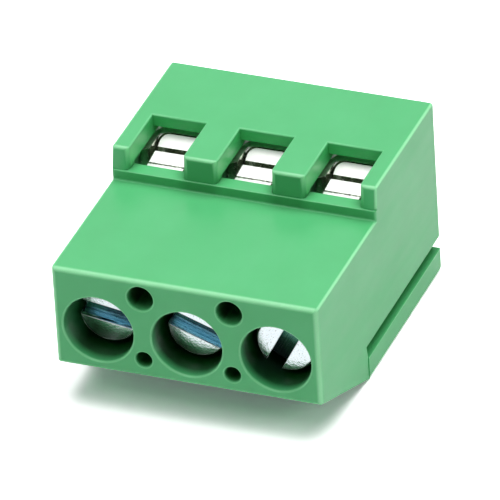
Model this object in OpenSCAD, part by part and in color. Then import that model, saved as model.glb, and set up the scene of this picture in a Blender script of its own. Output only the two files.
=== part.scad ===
// Three-pole terminal block for circuit boards, with rising clamp sleeves.
// It lies on its back: X runs along the poles, Y from the screw face to the
// board face, and Z from the back to the wire face. All sizes are millimetres.

/* [Housing] */
// Distance between neighbouring poles
pitch = 5.08; // [4.9:0.01:7.62]
// Length of the low nose, from the screw face to the step
nose_l = 9.1; // [8.6:0.1:14]
// Length of the thick base, from the step to the board face
base_l = 9.2; // [8.9:0.1:14]
// Thickness of the base, from the back to the wire face
base_t = 10.73; // [10.4:0.01:14]
// Height of the step between nose and base
step_h = 1.98; // [1.8:0.01:2.3]
// How far the top of the step lies behind its foot
step_draft = 0.23; // [0:0.01:0.5]
// Height of the nose's lower front edge above the back
nose_rise = 2.7; // [1.5:0.1:2.8]
// Length of the slope under the nose
slope_l = 6.86; // [4:0.01:7.5]
// Wall over the clamp under the top of the nose
nose_wall = 1; // [0.6:0.05:1.2]
// Wall between the back and the current bar
back_wall = 1; // [0.6:0.05:1.1]

/* [Wire windows] */
// Width of a wire window
window_w = 3.1; // [2.6:0.05:3.6]
// Length of a wire window, from the step to the lintel
window_l = 3.8; // [3.6:0.05:4.5]
// Height of the window sill above the nose
sill_h = 0.61; // [0.3:0.01:0.9]
// Thickness of the window sill
sill_t = 0.9; // [0.7:0.05:1.1]
// How far the sill stands proud of the posts above it
sill_proud = 0.08; // [0.02:0.01:0.15]
// Thickness of the posts beside a window, where the chamber widens
post_t = 1.23; // [1:0.01:1.5]
// Thickness of the lintel at the window's far end
lintel_t = 0.74; // [0.5:0.01:0.95]
// Length of the relief under the lintel
lintel_relief_l = 1.1; // [0.6:0.1:1.6]

/* [Small holes in the screw face] */
// Diameter of the upper holes
upper_hole_d = 1.45; // [0.8:0.05:1.8]
// Depth of the upper holes
upper_hole_depth = 4.5; // [2:0.5:5]
// Height of the upper holes above the screw axis
upper_hole_up = 2.43; // [2.3:0.01:2.6]
// Diameter of the lower holes
lower_hole_d = 0.9; // [0.6:0.05:1.2]
// Depth of the lower holes
lower_hole_depth = 3; // [1:0.5:5]
// Distance of the lower holes below the screw axis
lower_hole_down = 1.45; // [1.2:0.01:1.6]

/* [Joining profile on the sides] */
// Height of the groove's lower edge above the back
groove_z = 1.39; // [1.2:0.01:1.45]
// Height of the groove
groove_h = 0.66; // [0.5:0.01:0.8]
// Depth of the groove
groove_depth = 0.55; // [0.3:0.05:0.7]
// How far the rib below the groove stands proud
rib_proud = 0.05; // [0.02:0.01:0.15]
// Clearance of the tongue in a neighbour's groove
tongue_clear = 0.05; // [0.02:0.01:0.1]

/* [Clamp screw] */
// Height of the screw axis above the back
screw_z = 5.18; // [5:0.01:5.4]
// Depth of the screw head below the screw face
head_recess = 1.55; // [1:0.05:2.2]
// Diameter of the screw head
head_d = 3.4; // [3.1:0.05:3.5]
// Height of the screw head
head_h = 2; // [1.4:0.1:2.2]
// Bevel around the rim of the head
head_bevel = 0.1; // [0.05:0.05:0.3]
// Width of the screwdriver slot
slot_w = 0.95; // [0.5:0.05:1.1]
// Depth of the screwdriver slot
slot_depth = 1; // [0.5:0.1:1.2]
// Angle of each slot from the pole row, seen from the screw face
slot_angles = [-9, -20, 62]; // [-90:1:90]
// Diameter of the threaded shank
shank_d = 2.4; // [2:0.05:2.45]
// Bevel at the tip of the shank
tip_bevel = 0.3; // [0.1:0.05:0.5]

/* [Clamp sleeve] */
// Width inside the sleeve
sleeve_in_w = 2.6; // [2.56:0.01:2.7]
// Thickness of the sleeve's strip
sleeve_t = 0.6; // [0.4:0.05:0.62]
// Thickness of the threaded wall
thread_wall_t = 1.4; // [1:0.1:1.6]
// Thickness of the inner lap under the wire
lap_t = 0.8; // [0.6:0.05:1.1]
// Gap of the seam between the two laps
seam_gap = 0.12; // [0.06:0.01:0.16]
// Corner radius inside the folds of the strip
fold_r = 0.5; // [0.2:0.05:0.6]
// Height of the sleeve's lower end above the chamber floor
sleeve_lift = 0.15; // [0.05:0.05:0.4]
// Drop of the inner lap's sloping end, towards the wire gap
lap_drop = 0.4; // [0.1:0.05:0.5]
// Drop of the sleeve's sloping side edges
side_drop = 0.3; // [0.1:0.05:0.8]
// Gap from the window sill to the sleeve's tall sides, when it is closed
side_gap = 1; // [0.2:0.05:1.2]
// Wire gap between the current bar and the inner lap, as it lies
wire_gap = 0.7; // [0.3:0.01:0.8]
// Travel of the sleeve towards the board
open_travel = 1.2; // [0.8:0.1:1.3]

/* [Current bar] */
// Width of the current bar
bar_w = 2.1; // [1.6:0.05:2.3]
// Thickness of the tongue in the clamp, folded to a double layer
tongue_t = 1.6; // [1.2:0.05:1.8]
// Distance of the fold line from the tongue's near side
fold_line_at = 0.55; // [0.3:0.01:0.7]
// Width and depth of the fold line
fold_line = 0.12; // [0.04:0.01:0.15]
// Drop of the tongue's end below the window sill
tongue_drop = 0.16; // [0.05:0.01:0.4]
// Slope of the tongue's end, towards the sill
tongue_slope = 0.2; // [0.05:0.05:0.4]
// Thickness of the leg and foot
leg_t = 0.8; // [0.5:0.05:0.9]
// Outer bend radius of the bar
bend_r = 0.4; // [0.2:0.05:0.45]
// Height of the solder pin's axis above the back
pin_z = 5.2; // [4:0.1:6]
// Diameter of the solder pin
pin_d = 1; // [0.7:0.05:1.3]
// Diameter of the pin's shoulder, above the board
shoulder_d = 1.6; // [1.4:0.05:2]
// Length of the solder pin below the board face
pin_l = 3.5; // [2.5:0.1:5]
// Bevel at the tip of the solder pin
pin_bevel = 0.2; // [0.1:0.05:0.3]

/* [Clearances] */
// Radial clearance of the screw head in its bore
head_clear = 0.3; // [0.15:0.01:0.35]
// Radial clearance of the shank in the sleeve
thread_clear = 0.05; // [0.02:0.01:0.1]
// Radial clearance of the shank in the housing
shank_clear = 0.2; // [0.1:0.05:0.25]
// Gap at each end of the screw
end_gap = 0.05; // [0.03:0.01:0.15]
// Clearance of the sleeve in its chamber
slide_clear = 0.1; // [0.05:0.01:0.12]
// Side clearance of the current bar in its pocket
bar_clear = 0.05; // [0.02:0.01:0.1]
// Gap between the current bar and the walls along its thickness
bar_gap = 0.15; // [0.05:0.05:0.3]

/* [Hidden] */
$fn = 96;

plastic_green = [0.33, 0.73, 0.45];
plated_bright = [0.86, 0.85, 0.82];
plated_bluish = [0.72, 0.77, 0.82];

// How far a cut reaches past the face that it opens
over = 0.5;
pole_x = [-pitch, 0, pitch];
between_x = [-pitch / 2, pitch / 2];
body_w = 3 * pitch;
body_l = nose_l + base_l;
nose_top = base_t - step_h;
back_mid_y = (slope_l + body_l) / 2;

// Screw: head, bore and shank
bore_r = head_d / 2 + head_clear;
head_end_y = head_recess + head_h;
head_seat_y = head_end_y + end_gap;

// Window and sill
sill_back_y = nose_l + sill_t;
sill_z = nose_top + sill_h;
lintel_y = nose_l + window_l;

// Current bar inside the clamp
tongue_y0 = sill_back_y + bar_gap;
tongue_y1 = tongue_y0 + tongue_t;
tongue_top_z = sill_z - tongue_drop;
shank_end_y = tongue_y0 - end_gap;

// Sleeve around the tongue
sleeve_w = sleeve_in_w + 2 * sleeve_t;
thread_y1 = tongue_y0 - open_travel - slide_clear;
thread_y0 = thread_y1 - thread_wall_t;
close_travel = wire_gap - end_gap;
lap_y0 = tongue_y1 + wire_gap;
lap_y1 = lap_y0 + lap_t;
sleeve_y1 = lap_y1 + seam_gap + sleeve_t;
tall_y0 = sill_back_y + close_travel + side_gap;

// Chamber that the sleeve slides in
chamber_w = sleeve_w + 2 * slide_clear;
chamber_y0 = thread_y0 - close_travel - slide_clear;
chamber_y1 = sleeve_y1 + open_travel + slide_clear;
groove_top_z = groove_z + groove_h;
chamber_z0 = groove_top_z + groove_depth + bar_gap;
near_ceiling_z = nose_top - nose_wall;
far_ceiling_z = base_t - post_t;
sleeve_z0 = chamber_z0 + sleeve_lift;
sleeve_near_z1 = near_ceiling_z - slide_clear;
sleeve_far_z1 = far_ceiling_z - slide_clear;

// Leg, foot and pin of the current bar
pocket_w = bar_w + 2 * bar_clear;
foot_y0 = chamber_y1 + bar_gap;
foot_y1 = foot_y0 + leg_t;
foot_top_z = pin_z + shoulder_d / 2;

// Box between two corners
module block(low, high) {
    translate(low) cube(high - low);
}

// Cylinder along Y between two depths below the screw face
module round_y(x, z, r, y0, y1) {
    translate([x, y0, z]) rotate([-90, 0, 0]) cylinder(r = r, h = y1 - y0);
}

// Prism along X of an outline that is drawn in Y and Z
module prism_x(x0, x1) {
    translate([x0, 0, 0]) rotate([90, 0, 90]) linear_extrude(x1 - x0) children();
}

// Prism along Y of an outline that is drawn in X and Z
module prism_y(y0, y1) {
    translate([0, y1, 0]) rotate([90, 0, 0]) linear_extrude(y1 - y0) children();
}

// Moves the screw face's frame to the middle of the flat back
module placed() {
    translate([0, -back_mid_y, 0]) children();
}

// Side outline of the moulding
module housing_outline() {
    polygon([[0, nose_rise], [slope_l, 0], [body_l, 0], [body_l, base_t],
             [nose_l + step_draft, base_t], [nose_l + sill_proud, sill_z], [nose_l, sill_z],
             [nose_l, nose_top], [0, nose_top]]);
}

// Bore for the screw head and the narrower way for its shank
module screw_way(x) {
    round_y(x, screw_z, bore_r, -over, head_seat_y);
    round_y(x, screw_z, shank_d / 2 + shank_clear, head_end_y, chamber_y0 + over);
}

// Space for the sleeve, open at the board face where the metal goes in
module chamber(x) {
    half = chamber_w / 2;
    block([x - half, chamber_y0, chamber_z0], [x + half, body_l + over, near_ceiling_z]);
    block([x - half, sill_back_y, chamber_z0], [x + half, body_l + over, far_ceiling_z]);
    block([x - pocket_w / 2, tongue_y0 - bar_gap, back_wall],
          [x + pocket_w / 2, body_l + over, chamber_z0 + over]);
}

// Window over the sill, with the relief under its lintel
module window(x) {
    half = window_w / 2;
    block([x - half, nose_l - over, sill_z], [x + half, lintel_y, base_t + over]);
    block([x - half, sill_back_y, sill_z],
          [x + half, lintel_y + lintel_relief_l, base_t - lintel_t]);
}

// Blind holes in the screw face, between the poles
module small_holes() {
    for (x = between_x) {
        round_y(x, screw_z + upper_hole_up, upper_hole_d / 2, -over, upper_hole_depth);
        round_y(x, screw_z - lower_hole_down, lower_hole_d / 2, -over, lower_hole_depth);
    }
}

// Groove on the right side, with the proud rib under it
module side_groove() {
    block([body_w / 2 - groove_depth, slope_l, groove_z],
          [body_w / 2 + over, body_l + over, groove_top_z]);
}

module side_rib() {
    block([body_w / 2 - groove_depth, slope_l, 0], [body_w / 2 + rib_proud, body_l, groove_z]);
}

// Tongue on the left side, which fits a neighbour's groove
module side_tongue() {
    block([-body_w / 2 - groove_depth + tongue_clear, slope_l, groove_z + tongue_clear],
          [-body_w / 2 + groove_depth, body_l, groove_top_z - tongue_clear]);
}

// Recess on the left side for a neighbour's rib
module rib_recess() {
    block([-body_w / 2 - over, slope_l - tongue_clear, -over],
          [-body_w / 2 + rib_proud + tongue_clear, body_l + over, groove_z + tongue_clear]);
}

module housing() {
    color(plastic_green) placed() difference() {
        union() {
            difference() {
                prism_x(-body_w / 2, body_w / 2) housing_outline();
                side_groove();
            }
            side_rib();
            side_tongue();
        }
        rib_recess();
        for (x = pole_x) {
            screw_way(x);
            chamber(x);
            window(x);
        }
        small_holes();
    }
}

// Side outline of the current bar: tongue, leg and foot, with round outer bends
module bar_outline() {
    difference() {
        union() {
            polygon([[tongue_y0, back_wall], [tongue_y1, back_wall], [tongue_y1, tongue_top_z],
                     [tongue_y0, tongue_top_z - tongue_slope]]);
            translate([tongue_y0, back_wall]) square([foot_y1 - tongue_y0, leg_t]);
            translate([foot_y0, back_wall]) square([leg_t, foot_top_z - back_wall]);
        }
        outer_bend(tongue_y0, 1);
        outer_bend(foot_y1, -1);
        translate([tongue_y0 + fold_line_at - fold_line / 2, tongue_top_z - tongue_slope])
            square([fold_line, over]);
    }
}

// What a round bend takes off a square corner at the back wall
module outer_bend(y, side) {
    translate([y, back_wall]) scale([side, 1]) difference() {
        translate([-over, -over]) square(bend_r + over);
        translate([bend_r, bend_r]) circle(bend_r);
    }
}

// Solder pin from inside the foot, with a shoulder that rests on the board
module solder_pin() {
    start_y = foot_y1 - leg_t / 2;
    shoulder = body_l - start_y;
    tip = shoulder + pin_l;
    translate([0, start_y, pin_z]) rotate([-90, 0, 0]) rotate_extrude()
        polygon([[0, 0], [shoulder_d / 2, 0], [shoulder_d / 2, shoulder], [pin_d / 2, shoulder],
                 [pin_d / 2, tip - pin_bevel], [pin_d / 2 - pin_bevel, tip], [0, tip]]);
}

module current_bar(pole) {
    color(plated_bright) placed() translate([pole_x[pole - 1], 0, 0]) {
        prism_x(-bar_w / 2, bar_w / 2) bar_outline();
        solder_pin();
    }
}

// Half section of the screw, from its head to its tip
module screw_outline() {
    head_r = head_d / 2;
    shank_r = shank_d / 2;
    length = shank_end_y - head_recess;
    polygon([[0, 0], [head_r - head_bevel, 0], [head_r, head_bevel], [head_r, head_h],
             [shank_r, head_h], [shank_r, length - tip_bevel],
             [shank_r - tip_bevel, length], [0, length]]);
}

module clamp_screw(pole) {
    color(plated_bluish) placed() translate([pole_x[pole - 1], head_recess, screw_z])
        rotate([-90, 0, 0]) difference() {
            rotate_extrude() screw_outline();
            rotate(-slot_angles[pole - 1]) translate([-head_d, -slot_w / 2, -over])
                cube([2 * head_d, slot_w, slot_depth + over]);
        }
}

// Rectangle with four round corners, from its low to its high corner
module round_square(low, high, r) {
    translate(low + [r, 0]) square([high.x - low.x - 2 * r, high.y - low.y]);
    translate(low + [0, r]) square([high.x - low.x, high.y - low.y - 2 * r]);
    for (x = [low.x + r, high.x - r], y = [low.y + r, high.y - r]) {
        translate([x, y]) circle(r);
    }
}

// Rectangle with only its far left corner round
module lap_shape(low, high, r) {
    translate(low) square([high.x - low.x, high.y - low.y - r]);
    translate(low + [r, 0]) square([high.x - low.x - r, high.y - low.y]);
    intersection() {
        translate(low) square(high - low);
        translate([low.x + r, high.y - r]) circle(r);
    }
}

// Strip folded to a box, with its two ends lapped under the wire
module sleeve_outline() {
    half_in = sleeve_in_w / 2;
    half_out = sleeve_w / 2;
    difference() {
        round_square([-half_out, thread_y0], [half_out, sleeve_y1], fold_r + sleeve_t / 2);
        difference() {
            lap_shape([-half_in, thread_y1], [half_in, lap_y1 + seam_gap], fold_r + seam_gap);
            lap_shape([-half_in + seam_gap, lap_y0], [half_in + over, lap_y1], fold_r);
        }
        translate([half_in - seam_gap, lap_y1]) square([seam_gap, over + sleeve_t]);
    }
}

module clamp_sleeve(pole) {
    half_in = sleeve_in_w / 2;
    half_out = sleeve_w / 2;
    top_z = sleeve_far_z1;
    color(plated_bright) placed() translate([pole_x[pole - 1], 0, 0]) difference() {
        translate([0, 0, sleeve_z0]) linear_extrude(top_z - sleeve_z0) sleeve_outline();
        block([-half_out - over, thread_y0 - over, sleeve_near_z1],
              [half_out + over, tall_y0, top_z + over]);
        round_y(0, screw_z, shank_d / 2 + thread_clear, thread_y0 - over, thread_y1 + over);
        prism_x(-half_in, half_in)
            polygon([[lap_y0 - seam_gap, top_z - lap_drop], [lap_y0, top_z - lap_drop],
                     [lap_y1, top_z], [lap_y1, top_z + over], [lap_y0 - seam_gap, top_z + over]]);
        for (side = [-1, 1]) {
            prism_y(tall_y0 - over, sleeve_y1 + over)
                polygon([[side * half_in, top_z], [side * half_out, top_z - side_drop],
                         [side * (half_out + over), top_z - side_drop],
                         [side * (half_out + over), top_z + over], [side * half_in, top_z + over]]);
        }
    }
}

housing();
current_bar(1);  // current_bar_1
current_bar(2);  // current_bar_2
current_bar(3);  // current_bar_3
clamp_screw(1);  // clamp_screw_1
clamp_screw(2);  // clamp_screw_2
clamp_screw(3);  // clamp_screw_3
clamp_sleeve(1);  // clamp_sleeve_1
clamp_sleeve(2);  // clamp_sleeve_2
clamp_sleeve(3);  // clamp_sleeve_3
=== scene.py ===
import math
from functools import reduce

import bmesh
import bpy
from mathutils import Matrix, Vector


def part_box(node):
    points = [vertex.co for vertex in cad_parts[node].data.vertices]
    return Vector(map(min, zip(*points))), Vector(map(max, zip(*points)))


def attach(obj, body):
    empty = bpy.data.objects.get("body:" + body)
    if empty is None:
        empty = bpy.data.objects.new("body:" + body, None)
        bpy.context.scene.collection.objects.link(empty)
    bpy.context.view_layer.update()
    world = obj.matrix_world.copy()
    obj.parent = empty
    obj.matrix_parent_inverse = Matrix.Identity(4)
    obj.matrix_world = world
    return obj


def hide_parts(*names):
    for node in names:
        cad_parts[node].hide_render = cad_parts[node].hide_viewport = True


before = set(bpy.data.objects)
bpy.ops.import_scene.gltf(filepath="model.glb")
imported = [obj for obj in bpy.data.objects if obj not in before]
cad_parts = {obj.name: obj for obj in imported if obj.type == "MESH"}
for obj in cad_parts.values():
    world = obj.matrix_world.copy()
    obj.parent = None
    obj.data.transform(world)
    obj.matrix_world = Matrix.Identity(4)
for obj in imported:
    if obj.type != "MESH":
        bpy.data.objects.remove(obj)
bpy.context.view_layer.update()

# Screw terminal block: poles along X, from the screw face to the board face along Y, and Z up
MM = 0.001
X, Y, Z = 0, 1, 2
POLES = (1, 2, 3)
POLE_PITCH = 5.08 * MM
HOUSING_LOW, HOUSING_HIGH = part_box("housing")

# Camera of the photograph: where it looks, from which side, and its lens
LOOK_AT = Vector((0.985, -5.383, 6.896)) * MM
VIEW_AZIMUTH = math.radians(22.74)
VIEW_ELEVATION = math.radians(32.88)
VIEW_ROLL = math.radians(-3.52)
VIEW_DISTANCE = 548 * MM
LENS_MM = 734.4
SENSOR_MM = 36
CLIP_REACH = 100

# Planes of the housing that its rounding and its shades follow
BODY_HALF_W = len(POLES) * POLE_PITCH / 2
TONGUE_X = -BODY_HALF_W + 0.15 * MM
FACE_Y = HOUSING_LOW.y
BORE_END_Y = -8.5 * MM
STEP_Y = -3.48 * MM
STEP_REACH = 0.3 * MM
NOSE_LOW_Z = 2.7 * MM
NOSE_TOP_Z = 8.75 * MM
SILL_Z = 9.36 * MM

# Places of single shades on the housing, and the width of their soft borders
POST_X = POLE_PITCH / 2
POST_HALF_W = 0.65 * MM
HOLE_HALF_W = 0.35 * MM
THIN_BORE_X = 6.3 * MM
CHAMBER_X = BODY_HALF_W - 0.7 * MM
GROOVE_X = BODY_HALF_W - 0.6 * MM
INNER_X = BODY_HALF_W - 0.5 * MM
SIDE_X = BODY_HALF_W - 0.35 * MM
BORE_FRONT_Y = FACE_Y + 0.1 * MM
RIM_Y = FACE_Y + 0.15 * MM
WINDOW_FRONT_Y = STEP_Y + 0.45 * MM
CHAMBER_FRONT_Y = STEP_Y + 0.7 * MM
WINDOW_REAR_Y = 1.8 * MM
GROOVE_TOP_Z = 2.1 * MM
RIM_TOP_Z = NOSE_TOP_Z - 0.4 * MM
CHAMBER_TOP_Z = 8.9 * MM
WINDOW_TOP_Z = HOUSING_HIGH.z - 0.23 * MM
FRINGE = 0.1 * MM

# How strong the single painted shades, glow and highlights are, from 0 to 1
GROOVE_LIT = 0.75
SIDE_LIT = 0.85
WINDOW_LIT = 0.85
WINDOW_GLOW = 0.6
POST_SHADE = 0.35
HOLE_LIT = 0.85
THIN_BORE_LIT = 0.4
EDGE_HIGHLIGHT = 0.95
RIM_HIGHLIGHT = 0.3
BORE_RIM = 0.65

# Sizes of hollows, in millimetres, over which painted shade darkens the housing, and the openness over which
# each look changes
NEAR_HOLLOW = 1.5
WIDE_HOLLOW = 4
OPENNESS_SAMPLES = 8
SHADE_RANGE = (0.3, 0.82)
DEEP_SHADE_RANGE = (0.6, 0.85)
HIGHLIGHT_RANGE = (0.8, 0.97)
GLOSS_RANGE = (0.5, 0.95)

# Fold line on the current bars' ends, and the strength of the painted shade along it
FOLD_Y = -1.88 * MM
FOLD_HALF_W = 0.06 * MM
FOLD_LOW_Z = 8.9 * MM
FOLD_RAGGED = 0.04 * MM
FOLD_SHADE = 0.9

# Top edge of the bars' feet, which the pins' shoulders touch
FOOT_REAR_Y = 3.65 * MM
FOOT_TOP_Z = 6.0 * MM

# Slope of the sleeves' laps towards the screw face, as the light on them shows it
LAP_LEAN = 0.25

# Edge rounding of the moulding, as radii
NOSE_TOP_ROUND = 0.28 * MM
NOSE_SIDE_ROUND = 0.3 * MM
NOSE_LOW_ROUND = 0.16 * MM
SIDE_ROUND = 0.16 * MM
STEP_ROUND = 0.2 * MM
POST_ROUND = 0.3 * MM
FOOT_ROUND = 0.12 * MM
SILL_ROUND = 0.07 * MM
RIM_ROUND = 0.13 * MM
WINDOW_ROUND = 0.12 * MM
RIB_ROUND = 0.25 * MM
INNER_ROUND = 0.03 * MM

# Edge rounding of the metal, as radii
BAR_ROUND = 0.03 * MM
SLEEVE_ROUND = 0.01 * MM
FOLD_ROUND = 0.01 * MM
SCREW_ROUND = 0.04 * MM

# How edges are rounded, and how rounded ones are told apart
EDGE_SEGMENTS = 3
EDGE_MARK = "rounded_edge"
FLAT_FACE, ROUND_FACE = 0, 1

# Welding and edge finding on the frame's meshes
WELD = 0.0005 * MM
FLAT_ANGLE = math.radians(0.5)
SHARP_ANGLE = math.radians(28)
SMOOTH_ANGLE = math.radians(38)
ON_PLANE = 0.02 * MM
SHORT_EDGE = 0.2 * MM

# Screw: head, slot, lean of its face to the right and upwards, and thread
HEAD_H = 2.0 * MM
HEAD_BEVEL = 0.1 * MM
SLOT_W = 0.95 * MM
SLOT_DEPTH = 1.0 * MM
SLOT_ANGLES = {1: math.radians(-9), 2: math.radians(-20), 3: math.radians(62)}
FACE_LEANS = {1: (-0.07, -0.07), 2: (0, 0), 3: (0.05, 0.05)}
FACE_DEPTH = 0.1 * MM
SHANK_R = 1.2 * MM
TIP_BEVEL = 0.3 * MM
THREAD_PITCH = 0.45 * MM
THREAD_DEPTH = 0.22 * MM
ROOT_SHARE, CREST_SHARE = 1 / 7, 1 / 7
TURN_STEPS = 64
ROWS_A_PITCH = 8

# Floor: its size, its reflectance for the block's light, in mirror images and to the eye, and its faint glow
FLOOR_HALF = 600 * MM
FLOOR_BOUNCE = 0.8
FLOOR_MIRRORED = 1.1
FLOOR_SEEN = 1.7
FLOOR_GLOW = (0.085, 0.03, 0.085, 1)

# Light from all round, and the share of it that the dim front gives, and shows in mirror images
ROOM_LIGHT = 0.2
FRONT_SHARE = 0.35
FRONT_MIRRORED = 0.1
FRONT = Vector((0, -0.85, 0.53)).normalized()
FRONT_RANGE = (0.1, 0.7)

# Lamps: place and size in millimetres, and power in watts
LAMPS = {
    "softbox_above": ((30, 10, 420), 400, 2.0),
    "fill_front": ((-140, -230, 325), 110, 0.18),
    "fill_right": ((400, 200, 150), 160, 0.29),
}


# Node trees

class Tree:
    """Short calls for building the nodes of a material or a world."""

    def __init__(self, owner, output="ShaderNodeOutputMaterial"):
        owner.use_nodes = True
        self.owner = owner
        self.nodes = owner.node_tree.nodes
        self.links = owner.node_tree.links
        self.nodes.clear()
        self.output = self.add(output)

    def add(self, kind, inputs=None, **settings):
        """A node of that kind, with settings and with its inputs set or linked by name."""
        node = self.nodes.new(kind)
        for key, value in settings.items():
            setattr(node, key, value)
        for key, value in (inputs or {}).items():
            self.put(node.inputs[key], value)
        return node

    def put(self, socket, value):
        """Links an output to the socket, or sets its value."""
        if isinstance(value, bpy.types.NodeSocket):
            self.links.new(value, socket)
        else:
            socket.default_value = value

    def math(self, operation, *values):
        """Result of a math node."""
        return self.add("ShaderNodeMath", dict(enumerate(values)), operation=operation).outputs[0]

    def times(self, *values):
        """Product of values."""
        return reduce(lambda first, second: self.math("MULTIPLY", first, second), values)

    def most(self, *values):
        """Greatest of values."""
        return reduce(lambda first, second: self.math("MAXIMUM", first, second), values)

    def opposite(self, value):
        """What is left of 1."""
        return self.math("SUBTRACT", 1.0, value)

    def span(self, value, low, high, start=0.3, end=0.7):
        """Maps a value from start..end to low..high, kept inside."""
        inputs = {"Value": value, "From Min": start, "From Max": end, "To Min": low, "To Max": high}
        return self.add("ShaderNodeMapRange", inputs).outputs["Result"]

    def rise(self, value, start, width=FRINGE):
        """From 0 at the start to 1 over a width."""
        return self.span(value, 0, 1, start, start + width)

    def fall(self, value, start, width=FRINGE):
        """From 1 at the start to 0 over a width."""
        return self.span(value, 1, 0, start, start + width)

    def between(self, value, low, high, width=FRINGE):
        """1 from low to high, and 0 beyond a width on both sides."""
        return self.times(self.rise(value, low - width, width), self.fall(value, high, width))

    def parts(self, vector):
        """X, Y and Z of a vector."""
        return self.add("ShaderNodeSeparateXYZ", {"Vector": vector}).outputs

    def place(self):
        """Object coordinates."""
        return self.add("ShaderNodeTexCoord").outputs["Object"]

    def noise(self, size, stretch=(1, 1, 1), detail=3.0, roughness=0.5):
        """Noise from 0 to 1 with features of about that size in millimetres, stretched along each axis."""
        scale = tuple(1 / MM / s for s in stretch)
        place = self.add("ShaderNodeMapping", {"Vector": self.place(), "Scale": scale}).outputs["Vector"]
        inputs = {"Vector": place, "Scale": 1 / size, "Detail": detail, "Roughness": roughness}
        return self.add("ShaderNodeTexNoise", inputs).outputs["Fac"]

    def openness(self, reach):
        """From 0 in a tight hollow to 1 on an open face, for hollows of about that size in millimetres."""
        node = self.add("ShaderNodeAmbientOcclusion", {"Distance": reach * MM},
                        samples=OPENNESS_SAMPLES, only_local=True)
        return node.outputs["AO"]

    def edges(self):
        """1 on rounded edges."""
        return self.add("ShaderNodeAttribute", attribute_name=EDGE_MARK).outputs["Fac"]

    def blend(self, fac, low, high):
        """Mixes two colours."""
        node = self.add("ShaderNodeMix", data_type="RGBA")
        self.put(node.inputs["Factor"], fac)
        self.put(node.inputs["A"], low)
        self.put(node.inputs["B"], high)
        return node.outputs["Result"]

    def bump(self, height, distance, strength=1.0, under=None):
        """Bump over another one, if that is given: a height of 1 stands for the distance in metres."""
        inputs = {"Height": height, "Distance": distance, "Strength": strength}
        if under is not None:
            inputs["Normal"] = under
        return self.add("ShaderNodeBump", inputs).outputs["Normal"]

    def finish(self, shader):
        """The material or world, with a shader as its surface."""
        self.links.new(shader.outputs[0], self.output.inputs["Surface"])
        return self.owner

    def surface(self, inputs):
        """The material, with a principled shader as its surface."""
        return self.finish(self.add("ShaderNodeBsdfPrincipled", inputs))


def material_tree(name):
    """Tree of a new material."""
    return Tree(bpy.data.materials.new(name))


# Materials

def srgb(red, green, blue):
    """Linear colour with alpha from 0..255 display values."""
    def linear(value):
        value = value / 255
        return value / 12.92 if value <= 0.04045 else ((value + 0.055) / 1.055) ** 2.4
    return (linear(red), linear(green), linear(blue), 1.0)


# Colours of the moulding: its own greens, then its painted glow, painted shade, darker painted shade and
# painted highlight
GREEN = srgb(82, 187, 118)
GREEN_CLOUD = srgb(89, 195, 126)
GREEN_FLOW = srgb(84, 191, 121)
GREEN_PAINTED_GLOW = srgb(72, 220, 118)
GREEN_SHADE = srgb(8, 96, 30)
GREEN_DEEP_SHADE = srgb(4, 62, 12)
GREEN_HIGHLIGHT = srgb(158, 240, 180)

# Colours of the stamped strip: its tone and its dents, both tinted green as a painted reflection of the
# green moulding, its upward cut ends, near white and partly painted light, and painted shade in its fold
# line
STRIP_WITH_GREEN_REFLECTION = srgb(192, 210, 180)
STRIP_DENT_WITH_GREEN_REFLECTION = srgb(226, 234, 216)
STRIP_CUT_AND_TOP_LIGHT = srgb(254, 254, 252)
STRIP_FOLD_SHADE = srgb(60, 62, 52)

# Colours of the screws: the zinc's own face tones and pits, painted shade in the slot with its lighter sawn
# lines, and painted highlight on the rounded edges
ZINC = srgb(208, 220, 226)
ZINC_FROST = srgb(236, 242, 245)
ZINC_PIT = srgb(120, 134, 138)
ZINC_SLOT_SHADE = srgb(108, 154, 176)
ZINC_SAWN = srgb(196, 228, 236)
ZINC_EDGE_HIGHLIGHT = srgb(250, 252, 253)


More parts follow.
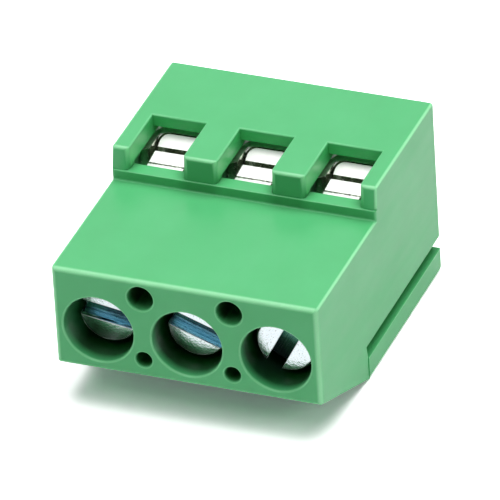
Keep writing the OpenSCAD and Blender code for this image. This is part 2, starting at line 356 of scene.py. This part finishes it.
class HousingShades:
    """Shares from 0 to 1 by the place on the housing and by how open it is there, which its painted shade,
    glow and highlights follow.
    """

    def __init__(self, tree):
        self.tree = tree
        across, self.along, self.up = tree.parts(tree.place())
        self.out = tree.math("ABSOLUTE", across)
        self.near = tree.openness(NEAR_HOLLOW)
        self.inner = tree.fall(self.out, INNER_X)
        self.sill = tree.times(tree.between(self.along, STEP_Y - FRINGE, STEP_Y + FRINGE),
                               tree.rise(self.up, NOSE_TOP_Z - FRINGE),
                               tree.fall(self.up, SILL_Z, 0.8 * FRINGE))
        self.window = tree.between(self.along, WINDOW_FRONT_Y, WINDOW_REAR_Y)
        self.wall = tree.times(self.window, tree.rise(self.up, SILL_Z, 2 * FRINGE))

    def painted_glow(self):
        """Painted glow on the window walls, as if light shone through them."""
        tree = self.tree
        return tree.times(self.wall, tree.fall(self.up, WINDOW_TOP_Z, 2 * FRINGE), self.inner, WINDOW_GLOW)

    def lit(self):
        """Share without painted shade: open faces, the sides with their groove, and the windows, but less on
        the inner posts' fronts.
        """
        tree = self.tree
        faces = tree.span(self.near, 0, 1, *SHADE_RANGE)
        groove = tree.times(tree.rise(self.out, GROOVE_X), tree.fall(self.up, GROOVE_TOP_Z), GROOVE_LIT)
        side = tree.times(tree.rise(self.out, SIDE_X, 3 * FRINGE), SIDE_LIT)
        windows = tree.times(tree.most(self.sill, self.wall), WINDOW_LIT)
        post = tree.times(tree.between(self.out, POST_X - POST_HALF_W, POST_X + POST_HALF_W, 7 * FRINGE),
                          tree.between(self.along, STEP_Y - FRINGE / 2, STEP_Y + STEP_REACH),
                          tree.rise(self.up, NOSE_TOP_Z - FRINGE / 2), POST_SHADE)
        return tree.times(tree.most(faces, groove, side, windows), tree.opposite(post))

    def deep_shade(self):
        """Darker painted shade: screw bores and clamp chambers, but less in the small holes and in the
        bores' slender outer walls.
        """
        tree = self.tree
        hole = tree.times(tree.between(self.out, POST_X - HOLE_HALF_W, POST_X + HOLE_HALF_W), HOLE_LIT)
        thin_bore = tree.times(tree.rise(self.out, THIN_BORE_X, 7 * FRINGE), THIN_BORE_LIT)
        bore = tree.times(tree.rise(self.along, BORE_FRONT_Y, 6 * FRINGE),
                          tree.fall(self.along, BORE_END_Y, 2 * FRINGE),
                          tree.opposite(tree.most(hole, thin_bore)))
        chamber = tree.times(tree.rise(self.along, CHAMBER_FRONT_Y, 2 * FRINGE),
                             tree.fall(self.up, CHAMBER_TOP_Z, 6 * FRINGE),
                             tree.fall(self.out, CHAMBER_X))
        hollow = tree.span(tree.openness(WIDE_HOLLOW), 1, 0, *DEEP_SHADE_RANGE)
        return tree.times(tree.most(bore, chamber), hollow)

    def edge_highlight(self):
        """Painted highlight on rounded edges, but less on the rims of the bores, windows and sills."""
        tree = self.tree
        bore_rim = tree.times(tree.fall(self.along, RIM_Y), tree.fall(self.up, RIM_TOP_Z), BORE_RIM)
        rim = tree.most(tree.times(tree.most(bore_rim, self.window), self.inner), self.sill)
        return tree.times(tree.edges(), tree.span(self.near, 0, EDGE_HIGHLIGHT, *HIGHLIGHT_RANGE),
                          tree.span(rim, 1, RIM_HIGHLIGHT, 0, 1))


def moulded_polyamide():
    """Green polyamide: satin and slightly translucent, with painted shade in its hollows, painted glow on
    its window walls, and a painted highlight on its rounded edges.
    """
    tree = material_tree("moulded_polyamide")
    shades = HousingShades(tree)
    clouds = tree.noise(3.5, detail=4)
    flow = tree.noise(0.9, stretch=(1, 7, 1), detail=3)
    grain = tree.noise(0.09, detail=5, roughness=0.65)
    cloudy = tree.blend(tree.span(clouds, 0, 1), GREEN, GREEN_CLOUD)
    skin = tree.blend(tree.span(flow, 0, 0.5), cloudy, GREEN_FLOW)
    # Painted glow on the window walls
    glowing_skin = tree.blend(shades.painted_glow(), skin, GREEN_PAINTED_GLOW)
    # Painted shade in hollows, in the side groove and on the inner posts' fronts
    shaded_skin = tree.blend(shades.lit(), GREEN_SHADE, glowing_skin)
    # Darker painted shade in the screw bores and clamp chambers
    deep_shaded_skin = tree.blend(shades.deep_shade(), shaded_skin, GREEN_DEEP_SHADE)
    waves = tree.bump(clouds, 0.02 * MM, 0.35)
    return tree.surface({
        # Painted highlight on the rounded edges
        "Base Color": tree.blend(shades.edge_highlight(), deep_shaded_skin, GREEN_HIGHLIGHT),
        "Roughness": tree.span(shades.near, 0.8, tree.span(flow, 0.28, 0.37), *GLOSS_RANGE),
        "Normal": tree.bump(grain, 0.004 * MM, 0.4, under=waves),
        "IOR": 1.53,
        "Specular IOR Level": 0.4,
        "Subsurface Weight": 0.1,
        "Subsurface Radius": (0.35, 1.0, 0.5),
        "Subsurface Scale": 0.3 * MM,
    })


def plated_strip(name, folded):
    """Plated strip: smooth rolled faces and dull cut ends, its pale tone tinted green as a painted
    reflection of the green moulding, and its upward cut ends painted near white, partly painted light from
    above.

    A folded one has painted shade in a dark ragged line along its fold, and the lap of the other leans to
    the front."""
    tree = material_tree(name)
    rolled = tree.noise(0.05, stretch=(9, 1, 1), detail=4)
    dents = tree.noise(0.2, detail=3)
    sideward, _, upward = tree.parts(tree.add("ShaderNodeTexCoord").outputs["Normal"])
    level = tree.span(tree.math("ABSOLUTE", sideward), 1, 0.3, 0.2, 0.4)
    # Upward cut ends: their dull finish is real, and their near white colour is partly painted light from
    # above
    cut = tree.times(tree.span(upward, 0, 1, 0.5, 0.8), level)
    # Tone and dents tinted green as a painted reflection of the green moulding
    tint = tree.blend(cut, tree.blend(tree.span(dents, 0, 1), STRIP_WITH_GREEN_REFLECTION, STRIP_DENT_WITH_GREEN_REFLECTION), STRIP_CUT_AND_TOP_LIGHT)
    normal = tree.bump(dents, 0.02 * MM, 0.5, under=tree.bump(rolled, 0.003 * MM, 0.4))
    _, along, up = tree.parts(tree.place())
    if folded:
        # Painted shade along the fold line
        ragged = tree.math("ADD", along, tree.span(tree.noise(0.12), -FOLD_RAGGED, FOLD_RAGGED))
        half = FOLD_HALF_W / 2
        line = tree.times(tree.between(ragged, FOLD_Y - half, FOLD_Y + half, half),
                          tree.rise(up, FOLD_LOW_Z, FRINGE / 2), FOLD_SHADE)
        tint = tree.blend(line, tint, STRIP_FOLD_SHADE)
    else:
        normal = tree.bump(tree.times(along, cut, LAP_LEAN / MM), MM, under=normal)
    return tree.surface({
        "Base Color": tint,
        "Metallic": 0.95,
        "Roughness": tree.span(cut, tree.span(dents, 0.16, 0.28), 0.55, 0, 1),
        "Normal": normal,
    })


def zinc_plating(name, lean):
    """Blue-passivated zinc on steel: pale frosted face, painted shade in a darker blue below it in the slot,
    with lighter sawn lines, and a painted highlight on its rounded edges.

    The face leans by the slopes along and across the slot."""
    tree = material_tree(name)
    sawn = tree.noise(0.15, stretch=(40, 1, 1), detail=3)
    frost = tree.noise(0.13, detail=4)
    pits = tree.span(tree.noise(0.13, detail=2), 0, 0.8, 0.6, 0.68)
    face = tree.blend(pits, tree.blend(tree.span(frost, 0, 1), ZINC, ZINC_FROST), ZINC_PIT)
    # Painted shade in the slot, a darker blue, with lighter sawn lines
    slot = tree.blend(tree.span(sawn, 0, 1), ZINC_SLOT_SHADE, ZINC_SAWN)
    along, across, depth = tree.parts(tree.place())
    below = tree.rise(depth, FACE_DEPTH, 1.5 * FACE_DEPTH)
    above = tree.opposite(below)
    slope = tree.math("ADD", tree.times(along, lean[0] / MM), tree.times(across, lean[1] / MM))
    leaning = tree.bump(tree.times(slope, above), MM)
    frosted = tree.bump(tree.times(frost, above), 0.022 * MM, 0.5, under=leaning)
    edge = tree.edges()
    return tree.surface({
        # Painted highlight on the rounded edges
        "Base Color": tree.blend(edge, tree.blend(below, face, slot), ZINC_EDGE_HIGHLIGHT),
        "Metallic": 1.0,
        "Roughness": tree.span(edge, tree.span(frost, 0.1, 0.18), 0.5, 0, 1),
        "Normal": tree.bump(tree.times(sawn, below), 0.012 * MM, 0.6, under=frosted),
    })


# Meshes

def linked(name, data):
    """New object in the scene."""
    obj = bpy.data.objects.new(name, data)
    bpy.context.scene.collection.objects.link(obj)
    return obj


def new_bmesh(mesh):
    """Bmesh of a mesh, with its normals."""
    bm = bmesh.new()
    bm.from_mesh(mesh)
    bm.normal_update()
    return bm


def new_mesh(name, bm):
    """Mesh of a bmesh, which is freed."""
    mesh = bpy.data.meshes.new(name)
    bm.to_mesh(mesh)
    bm.free()
    return mesh


def after_modifier(mesh, kind, **settings):
    """Mesh after a modifier of that kind."""
    holder = linked("holder", mesh)
    modifier = holder.modifiers.new(kind.lower(), kind)
    for key, value in settings.items():
        setattr(modifier, key, value)
    graph = bpy.context.evaluated_depsgraph_get()
    made = bpy.data.meshes.new_from_object(holder.evaluated_get(graph))
    bpy.data.objects.remove(holder)
    return made


def whole_faces(mesh):
    """A mesh with its points welded and its flat faces made whole."""
    bm = new_bmesh(mesh)
    bmesh.ops.remove_doubles(bm, verts=bm.verts, dist=WELD)
    bmesh.ops.dissolve_limit(bm, angle_limit=FLAT_ANGLE, verts=bm.verts, edges=bm.edges)
    return new_mesh("whole_faces", bm)


def bevelled(source, width_of):
    """A mesh with its edges rounded: width_of(edge) gives each sharp edge's radius."""
    bm = new_bmesh(source)
    weight = bm.edges.layers.float.new("bevel_weight_edge")
    sharp = [e for e in bm.edges if e.is_manifold and e.calc_face_angle() > SHARP_ANGLE]
    widths = {e: width_of(e) for e in sharp}
    widest = max(widths.values())
    for edge, width in widths.items():
        edge[weight] = width / widest
    mesh = new_mesh("bevelled", bm)
    for _ in (FLAT_FACE, ROUND_FACE):
        mesh.materials.append(None)
    return after_modifier(mesh, "BEVEL", limit_method="WEIGHT", width=widest, segments=EDGE_SEGMENTS,
                          use_clamp_overlap=False, loop_slide=False, material=ROUND_FACE)


def shaded(mesh):
    """A mesh with smooth shading that breaks at sharp edges."""
    bm = new_bmesh(mesh)
    for face in bm.faces:
        face.smooth = True
    for edge in bm.edges:
        edge.smooth = edge.is_manifold and edge.calc_face_angle() < SMOOTH_ANGLE
    return new_mesh("shaded", bm)


def mark_edges(mesh):
    """Marks the points inside the rounded edges, and gives all faces the one material."""
    outside = set()
    for polygon in mesh.polygons:
        if polygon.material_index == FLAT_FACE:
            outside.update(polygon.vertices)
        polygon.material_index = 0
    mark = mesh.attributes.new(EDGE_MARK, "FLOAT", "POINT")
    mark.data.foreach_set("value", [float(v.index not in outside) for v in mesh.vertices])


def smoothed(mesh):
    """A bevelled mesh with smooth shading and with its rounded edges marked."""
    made = after_modifier(shaded(mesh), "WEIGHTED_NORMAL", keep_sharp=True)
    mark_edges(made)
    return made


def rounded_mesh(node, width_of):
    """A node's mesh with its edges rounded, kept inside the node's box."""
    made = bevelled(whole_faces(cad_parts[node].data), width_of)
    low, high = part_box(node)
    for vertex in made.vertices:
        vertex.co = [min(max(c, a), b) for c, a, b in zip(vertex.co, low, high)]
    return smoothed(made)


# Pieces

def new_object(name, mesh, material, body, node, place=Matrix.Identity(4)):
    """Object of that mesh at a place, standing for a node and riding on its body."""
    mesh.materials.clear()
    mesh.materials.append(material)
    obj = linked(name, mesh)
    obj.matrix_world = place
    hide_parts(node)
    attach(obj, body)


def housing_rounding(edge):
    """Radius of an edge on the housing, by where it lies."""
    ends = [v.co for v in edge.verts]

    def on(axis, plane):
        return all(abs(p[axis] - plane) < ON_PLANE for p in ends)

    at_step = all(STEP_Y - ON_PLANE < p.y < STEP_Y + STEP_REACH for p in ends)
    by_tongue = all(p.x < TONGUE_X and p.z < NOSE_LOW_Z for p in ends)
    on_side = on(X, BODY_HALF_W) or on(X, -BODY_HALF_W)
    on_outside = on(Y, HOUSING_HIGH.y) or on(Z, HOUSING_LOW.z)
    if not edge.is_convex:
        return FOOT_ROUND if at_step and on(Z, NOSE_TOP_Z) else 0.0
    if on(Y, FACE_Y):
        if on(Z, NOSE_LOW_Z):
            return NOSE_LOW_ROUND
        if on(Z, NOSE_TOP_Z):
            return NOSE_TOP_ROUND
        return NOSE_SIDE_ROUND if on_side else RIM_ROUND
    if on(Z, SILL_Z):
        return SILL_ROUND if on(Y, STEP_Y) else INNER_ROUND
    if edge.calc_length() < SHORT_EDGE or by_tongue:
        return INNER_ROUND
    if on(X, HOUSING_HIGH.x) and on_outside:
        return RIB_ROUND
    if on_side or on_outside:
        return SIDE_ROUND
    if at_step:
        upright = abs(ends[0].x - ends[1].x) < ON_PLANE
        return POST_ROUND if upright else STEP_ROUND
    return WINDOW_ROUND if on(Z, HOUSING_HIGH.z) else INNER_ROUND


def make_housing(material):
    """Moulding with rounded edges."""
    mesh = rounded_mesh("housing", housing_rounding)
    new_object("housing_moulding", mesh, material, "housing", "housing")


def bar_rounding(edge):
    """Radius of an edge on a bar: smaller along the fold line, none where the pin meets the foot's top."""
    ends = [v.co for v in edge.verts]
    if all(abs(p.y - FOLD_Y) < 2 * FOLD_HALF_W and p.z > FOLD_LOW_Z for p in ends):
        return FOLD_ROUND
    if all(abs(p.y - FOOT_REAR_Y) < ON_PLANE and abs(p.z - FOOT_TOP_Z) < ON_PLANE for p in ends):
        return 0.0
    return BAR_ROUND


def sleeve_rounding(edge):
    """Radius of an edge on a sleeve, the same for all."""
    return SLEEVE_ROUND


def make_stamped(node, width_of, material, body):
    """Bar or sleeve with rounded edges."""
    new_object(node + "_stamped", rounded_mesh(node, width_of), material, body, node)


def skinned(bm, rings):
    """Adds the closed skin over rings of points that lie one above the other."""
    rows = [[bm.verts.new(point) for point in ring] for ring in rings]
    for lower, upper in zip(rows, rows[1:]):
        for i in range(TURN_STEPS):
            j = (i + 1) % TURN_STEPS
            bm.faces.new((lower[i], lower[j], upper[j], upper[i]))
    bm.faces.new(list(reversed(rows[0])))
    bm.faces.new(rows[-1])


def ring_at(height, radius_of):
    """Points round Z at a height: radius_of(turn) gives the radius at each share of a turn."""
    turns = [(i + 0.5) / TURN_STEPS for i in range(TURN_STEPS)]
    return [(radius_of(t) * math.cos(2 * math.pi * t), radius_of(t) * math.sin(2 * math.pi * t), height)
            for t in turns]


def thread_radius(turn, height, length):
    """Radius of the thread's surface at an angle in turns and a height, with a bevelled tip."""
    phase = (height / THREAD_PITCH - turn) % 1.0
    ridge = 1 - abs(2 * phase - 1)
    flank = (ridge - ROOT_SHARE) / (1 - ROOT_SHARE - CREST_SHARE)
    radius = SHANK_R - THREAD_DEPTH * (1 - min(1.0, max(0.0, flank)))
    return min(radius, SHANK_R - TIP_BEVEL + (length - height))


def screw_body(radius, length):
    """Screw about Z before its slot is cut: head with its face at 0, a bevelled rim, and threaded shank."""
    profile = [(radius - HEAD_BEVEL, 0), (radius, HEAD_BEVEL), (radius, HEAD_H)]
    count = math.ceil((length - HEAD_H) / THREAD_PITCH * ROWS_A_PITCH)
    heights = [HEAD_H + (length - HEAD_H) * k / count for k in range(count + 1)]
    bm = bmesh.new()
    skinned(bm, [ring_at(height, lambda turn, r=r: r) for r, height in profile]
            + [ring_at(h, lambda turn, h=h: thread_radius(turn, h, length)) for h in heights])
    bmesh.ops.recalc_face_normals(bm, faces=bm.faces)
    return new_mesh("screw_body", bm)


def slotted(mesh, radius):
    """Screw with the slot sawn along X into its face, right across the head."""
    bm = bmesh.new()
    bmesh.ops.create_cube(bm, size=1)
    bmesh.ops.scale(bm, vec=(3 * radius, SLOT_W, 2 * SLOT_DEPTH), verts=bm.verts)
    cutter = linked("slot_cutter", new_mesh("slot_cutter", bm))
    made = after_modifier(mesh, "BOOLEAN", operation="DIFFERENCE", object=cutter, solver="EXACT")
    bpy.data.objects.remove(cutter)
    return made


def screw_rounding(edge):
    """Radius of an edge on a screw: its head is rounded and its thread isn't."""
    on_head = all(v.co.z < HEAD_H + ON_PLANE for v in edge.verts) and edge.is_convex
    return SCREW_ROUND if on_head else 0.0


def face_lean(pole):
    """Slopes of a screw's face along and across its slot, from its lean to the right and upwards."""
    along = SLOT_ANGLES[pole]
    right, up = FACE_LEANS[pole]
    return (-right * math.cos(along) - up * math.sin(along), -right * math.sin(along) + up * math.cos(along))


def make_screw(pole, material):
    """Slotted screw in its own frame: Z along its axis into the block, X along its slot."""
    node = f"clamp_screw_{pole}"
    low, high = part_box(node)
    radius = (high.x - low.x) / 2
    mesh = smoothed(bevelled(slotted(screw_body(radius, high.y - low.y), radius), screw_rounding))
    along = SLOT_ANGLES[pole]
    middle = (low + high) / 2
    columns = (Vector((math.cos(along), 0, math.sin(along))),
               Vector((math.sin(along), 0, -math.cos(along))), Vector((0, 1, 0)))
    place = Matrix.Translation((middle.x, low.y, middle.z)) @ Matrix(columns).transposed().to_4x4()
    new_object(f"{node}_slotted", mesh, material, f"screw_{pole}", node, place)


# Stage, camera and light

def make_floor():
    """White table that keeps the shadow and stays white to the eye."""
    corners = [(x * FLOOR_HALF, y * FLOOR_HALF, 0) for x, y in ((-1, -1), (1, -1), (1, 1), (-1, 1))]
    mesh = bpy.data.meshes.new("floor")
    mesh.from_pydata(corners, [], [(0, 1, 2, 3)])
    tree = material_tree("white_table")
    path = tree.add("ShaderNodeLightPath").outputs
    seen = path["Is Camera Ray"]
    mirrored = tree.most(path["Is Glossy Ray"], path["Is Transmission Ray"])
    dim, plain, bright = [(level,) * 3 + (1,) for level in (FLOOR_BOUNCE, FLOOR_MIRRORED, FLOOR_SEEN)]
    paper = tree.blend(seen, tree.blend(mirrored, dim, plain), bright)
    diffuse = tree.add("ShaderNodeBsdfDiffuse", {"Color": paper})
    glow = tree.add("ShaderNodeEmission", {"Color": FLOOR_GLOW, "Strength": seen})
    both = tree.add("ShaderNodeAddShader", {0: diffuse.outputs[0], 1: glow.outputs[0]})
    mesh.materials.append(tree.finish(both))
    floor = linked("floor", mesh)


def facing(direction):
    """Rotation that looks along a direction."""
    return direction.to_track_quat("-Z", "Y").to_matrix().to_4x4()


def make_camera():
    """Camera of the photograph."""
    back = Vector((math.sin(VIEW_AZIMUTH) * math.cos(VIEW_ELEVATION),
                   -math.cos(VIEW_AZIMUTH) * math.cos(VIEW_ELEVATION), math.sin(VIEW_ELEVATION)))
    data = bpy.data.cameras.new("photo_camera")
    data.lens = LENS_MM
    data.sensor_width = SENSOR_MM
    data.clip_start = VIEW_DISTANCE / CLIP_REACH
    data.clip_end = VIEW_DISTANCE * CLIP_REACH
    camera = linked("photo_camera", data)
    place = Matrix.Translation(LOOK_AT + back * VIEW_DISTANCE)
    camera.matrix_world = place @ facing(-back) @ Matrix.Rotation(VIEW_ROLL, 4, "Z")
    bpy.context.scene.camera = camera


def make_lamp(name, place, size, power):
    """Soft square lamp at a place in millimetres, aimed at the block."""
    data = bpy.data.lights.new(name, "AREA")
    data.shape = "SQUARE"
    data.size = size * MM
    data.energy = power
    at = Vector(place) * MM
    lamp = linked(name, data)
    lamp.matrix_world = Matrix.Translation(at) @ facing(LOOK_AT - at)


def make_world():
    """White room: plain white to the eye, and dim towards the front, where it faces away from the lamps."""
    tree = Tree(bpy.data.worlds.new("white_room"), "ShaderNodeOutputWorld")
    direction = tree.add("ShaderNodeTexCoord").outputs["Generated"]
    frontward = tree.add("ShaderNodeVectorMath", {0: direction, 1: FRONT}, operation="DOT_PRODUCT")
    path = tree.add("ShaderNodeLightPath").outputs
    mirrored = tree.most(path["Is Glossy Ray"], path["Is Transmission Ray"])
    share = tree.span(mirrored, FRONT_SHARE, FRONT_MIRRORED, 0, 1)
    level = tree.span(frontward.outputs["Value"], 1.0, share, *FRONT_RANGE)
    room = tree.times(level, tree.span(mirrored, ROOM_LIGHT, 1.0, 0, 1))
    strength = tree.most(room, path["Is Camera Ray"])
    background = tree.add("ShaderNodeBackground", {"Color": (1, 1, 1, 1), "Strength": strength})
    bpy.context.scene.world = tree.finish(background)


bar_plating = plated_strip("bar_plating", folded=True)
sleeve_plating = plated_strip("sleeve_plating", folded=False)
make_housing(moulded_polyamide())
for pole in POLES:
    make_stamped(f"current_bar_{pole}", bar_rounding, bar_plating, "housing")
    make_stamped(f"clamp_sleeve_{pole}", sleeve_rounding, sleeve_plating, f"sleeve_{pole}")
    make_screw(pole, zinc_plating(f"zinc_plating_{pole}", face_lean(pole)))
make_floor()
make_camera()
for name, (place, size, power) in LAMPS.items():
    make_lamp(name, place, size, power)
make_world()
bpy.context.scene.view_settings.view_transform = "Standard"
